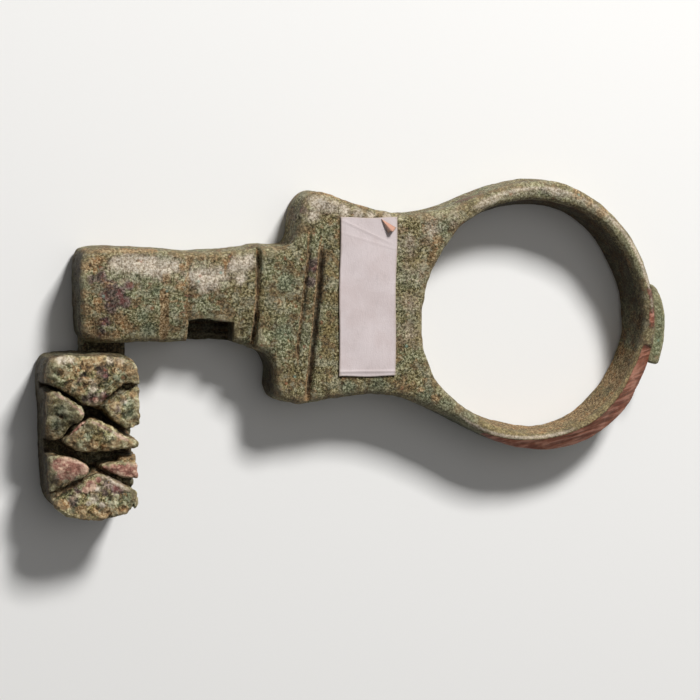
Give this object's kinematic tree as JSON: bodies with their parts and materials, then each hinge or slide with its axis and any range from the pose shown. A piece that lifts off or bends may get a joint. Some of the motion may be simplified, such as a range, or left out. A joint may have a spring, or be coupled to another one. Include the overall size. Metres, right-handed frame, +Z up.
{
  "type": "roman bronze key",
  "caption": "Bronze slide key with a ring handle, a flared plate, a notched shank and an offset block bit with sawn teeth, and a blank paper label.",
  "frame": {"origin": "centre of the ring's hole, on the plane of the flat back that the key rests on", "axes": "+X along the key from the bit to the ring, +Y from the bit's side towards the shank's upper side, +Z up through the face that carries the teeth"},
  "size_m": [0.0641, 0.0322, 0.007],
  "materials": {
    "ring_bronze": "olive-green patina with a band filed to bare copper-red metal",
    "lug_bronze": "pale grey-green patina",
    "plate_bronze": "granular olive-green patina",
    "shank_bronze": "granular olive-green patina with tan earth and worn grey highlights",
    "arm_bronze": "dark olive patina",
    "bit_bronze": "rough patina, green, tan and red-brown",
    "label_paper": "matt, slightly pink white, creased",
    "chip_paper": "matt, pink-orange"
  },
  "bodies": {
    "root": {"bow_ring": "ring_bronze", "ring_lug": "lug_bronze", "bow_plate": "plate_bronze", "shank": "shank_bronze", "bit_arm": "arm_bronze", "bit_block": "bit_bronze", "paper_label": "label_paper", "label_chip": "chip_paper"}
  },
  "joints": []
}
